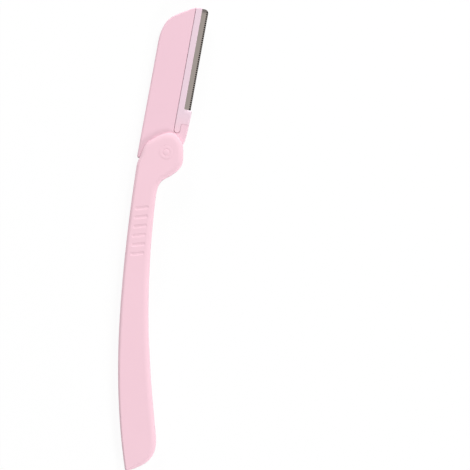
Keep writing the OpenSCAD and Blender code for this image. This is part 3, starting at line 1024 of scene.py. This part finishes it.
class RAZOR_OT_metal(bpy.types.Operator):
    """Builds the blade and the folded guard over its edge"""

    bl_idname = "razor.metal"
    bl_label = "Blade and guard"

    def execute(self, context):
        h = in_mm(context.scene.razor_head)
        split = in_mm(context.scene.razor_handle).handle_t / 2
        tints = context.scene.razor_colours
        edge_x = h.guard_x - h.guard_reach
        bevel_x = edge_x - h.bevel_w
        half = h.blade_t / 2
        profile = [
            (h.blade_back, split - half),
            (bevel_x, split - half),
            (edge_x, split - KEEN_HALF),
            (edge_x, split + KEEN_HALF),
            (bevel_x, split + half),
            (h.blade_back, split + half),
        ]
        blade = strip_bar(h, profile, split)
        end = (h.head_len - h.blade_end, h.end_w)
        # Bright from the rolls: a warm grey with soft reflections
        steel = rolled_steel(
            "rolled_stainless_steel", tints.blade, tints.blade, *end, roughness=0.3, line_mm=0.12
        )
        piece = finished(blade, "razor_blade", "head", ["blade"], steel, crease=5)
        # The ground edge is painted nearly black as shade: it shows as dark dots in the guard's
        # gaps
        ground = rolled_steel(
            "steel_bevel_painted_shade", tints.bevel, tints.bevel, *end, roughness=0.25, line_mm=0.12
        )
        piece.data.materials.append(ground)
        for face in piece.data.polygons:
            sloping = face.center.x > bevel_x * MM and abs(face.normal.z) > TURNED
            face.material_index = int(sloping)

        guard = cut(folded_foil(h, split), tooth_gaps(h, split))
        # The first gap runs out over the lower end of the metal
        first = h.blade_y + h.tooth_lead
        corner = block(
            (h.guard_x - h.tooth_depth, first - 2 * OVER, split - OVER),
            (PAST_SIDE * h.guard_x, first, split + OVER),
        )
        guard = cut(guard, corner)
        # Etched smooth: clearer reflections, which set the teeth off against the gaps
        # Its top end fades into a darker tint
        foil = rolled_steel(
            "etched_stainless_foil", tints.guard, tints.dark_end, *end, roughness=0.16, line_mm=0.2
        )
        finished(guard, "guard", "head", ["blade_guard"], foil, crease=40)
        return {"FINISHED"}


# ---------------- stage

# The picture is 470 pixels wide, one pixel is 0.38 mm, and it looks straight down with the
# razor's spine leaning 10.3 degrees to the right of upright.
PICTURE_W = 178.6
PICTURE_CENTRE = Vector((31.34, -26.21, 0)) * MM
LEAN = math.radians(10.3)
LENS, SENSOR = 300, 36
CLIP_START, CLIP_END = 0.01, 20
# Half the floor's side in metres, and its drop below the razor in millimetres
FLOOR_HALF = 6
FLOOR_DROP = 0.1
# Share of the floor that is its own white, and the strength of the surroundings
FLOOR_WHITE = 0.93
WORLD_LEVEL = 0.262
# Lamps in metres, with their direction in the picture (right, up, out) and level
LAMP_DISTANCE = 2.5
LAMP_SIZE = 0.6
LAMPS = (
    ("top", (-0.25, 0.93, 0.26), 0.555),
    ("right", (0.435, 0.435, 0.79), 0.53),
    ("bottom", (0.44, -0.765, 0.47), 0.425),
)


def shown(tree):
    """Output that is 1 where a thing is seen, mirrored or looked at through glass, and 0
    where it only lights."""
    ray = add(tree, "ShaderNodeLightPath")
    seen = ray.outputs["Is Camera Ray"]
    for kind in ("Is Glossy Ray", "Is Transmission Ray"):
        either = add(
            tree,
            "ShaderNodeMath",
            {"operation": "MAXIMUM"},
            {"Value": seen, "Value_001": ray.outputs[kind]},
        )
        seen = either.outputs["Value"]
    return seen


def stage_floor(tint):
    """Matt white floor. Where it is seen it is mostly a plain white of its own, so that only
    the darkest of the razor's shadow shows."""
    material = bpy.data.materials.new("matt_white_floor")
    tree = blank_tree(material)
    part = add(
        tree,
        "ShaderNodeMath",
        {"operation": "MULTIPLY", "Value_001": FLOOR_WHITE},
        {"Value": shown(tree)},
    )
    matt = add(tree, "ShaderNodeBsdfDiffuse", {"Color": (*tint, 1)})
    white = add(tree, "ShaderNodeEmission", {"Color": (1, 1, 1, 1), "Strength": 1})
    both = {"Shader": matt.outputs["BSDF"], "Shader_001": white.outputs["Emission"]}
    mix = add(tree, "ShaderNodeMixShader", {}, {"Fac": part.outputs["Value"], **both})
    add(tree, "ShaderNodeOutputMaterial", {}, {"Surface": mix.outputs["Shader"]})
    return material


def studio_world():
    """Plain white surroundings: full white where seen or mirrored, softer where they light."""
    world = bpy.data.worlds.new("studio")
    bpy.context.scene.world = world
    tree = blank_tree(world)
    level = add(tree, "ShaderNodeMapRange", {"To Min": WORLD_LEVEL}, {"Value": shown(tree)})
    white = {"Color": (1, 1, 1, 1)}
    sky = add(tree, "ShaderNodeBackground", white, {"Strength": level.outputs["Result"]})
    add(tree, "ShaderNodeOutputWorld", {}, {"Surface": sky.outputs["Background"]})


def softbox(name, toward, level):
    """Square lamp in a direction of the picture (right, up, out), that lights a face turned
    straight to it at the given level. Gloss mirrors the white surroundings and not the lamp,
    so no side of the razor glares."""
    direction = (Matrix.Rotation(LEAN, 3, "Z") @ Vector(toward)).normalized()
    lamp = bpy.data.lights.new(name, "AREA")
    lamp.shape = "SQUARE"
    lamp.size = LAMP_SIZE
    lamp.energy = level * math.pi**2 * LAMP_DISTANCE**2
    holder = bpy.data.objects.new(name, lamp)
    holder.location = PICTURE_CENTRE + direction * LAMP_DISTANCE
    holder.rotation_mode = "QUATERNION"
    holder.rotation_quaternion = (-direction).to_track_quat("-Z", "Y")
    holder.visible_camera = False
    holder.visible_glossy = False
    bpy.context.scene.collection.objects.link(holder)


class RAZOR_OT_stage(bpy.types.Operator):
    """Builds the floor, the light and the camera"""

    bl_idname = "razor.stage"
    bl_label = "Stage"

    def execute(self, context):
        scene = context.scene
        scene.view_settings.view_transform = "Standard"
        bm = bmesh.new()
        bmesh.ops.create_grid(bm, x_segments=1, y_segments=1, size=FLOOR_HALF)
        bmesh.ops.translate(bm, vec=(0, 0, -FLOOR_DROP * MM), verts=bm.verts)
        floor = held(bm, "floor")
        floor.data.materials.append(stage_floor(scene.razor_colours.floor))
        studio_world()
        for lamp in LAMPS:
            softbox(*lamp)

        camera = bpy.data.cameras.new("camera")
        camera.lens = LENS
        camera.sensor_width = SENSOR
        camera.clip_start, camera.clip_end = CLIP_START, CLIP_END
        holder = bpy.data.objects.new("camera", camera)
        distance = PICTURE_W * MM * LENS / SENSOR
        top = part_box("blade_arm")[1].z
        holder.location = PICTURE_CENTRE + Vector((0, 0, top + distance))
        holder.rotation_euler = (0, 0, LEAN)
        scene.collection.objects.link(holder)
        scene.camera = holder
        return {"FINISHED"}


class RAZOR_PT_panel(bpy.types.Panel):
    """Lists the razor's sizes and pieces"""

    bl_idname = "RAZOR_PT_panel"
    bl_label = "Folding eyebrow razor"
    bl_space_type = "VIEW_3D"
    bl_region_type = "UI"
    bl_category = "Razor"

    def draw(self, context):
        layout = self.layout
        for group in ("razor_handle", "razor_head", "razor_colours"):
            box = layout.box()
            values = getattr(context.scene, group)
            for key in values.bl_rna.properties.keys():
                if key not in ("rna_type", "name"):
                    box.prop(values, key)
        for operator in OPERATORS:
            layout.operator(operator.bl_idname)


OPERATORS = (RAZOR_OT_handle, RAZOR_OT_pin, RAZOR_OT_head, RAZOR_OT_metal, RAZOR_OT_stage)
CLASSES = (HandleSizes, HeadSizes, FinishColours, *OPERATORS, RAZOR_PT_panel)


def register():
    for cls in CLASSES:
        bpy.utils.register_class(cls)
    bpy.types.Scene.razor_handle = bpy.props.PointerProperty(type=HandleSizes)
    bpy.types.Scene.razor_head = bpy.props.PointerProperty(type=HeadSizes)
    bpy.types.Scene.razor_colours = bpy.props.PointerProperty(type=FinishColours)
    bpy.types.Scene.razor_stop_gap = length("Stop gap", "Of the head at its end stops", 0.06)
    bpy.types.Scene.razor_tip_room = length("Tip room", "Past the tip of the folded head", 0.9)


def unregister():
    for key in ("handle", "head", "colours", "stop_gap", "tip_room"):
        delattr(bpy.types.Scene, "razor_" + key)
    for cls in reversed(CLASSES):
        bpy.utils.unregister_class(cls)


def main():
    register()
    for step in ("handle", "pin", "head", "metal", "stage"):
        getattr(bpy.ops.razor, step)()


if __name__ == "__main__":
    main()
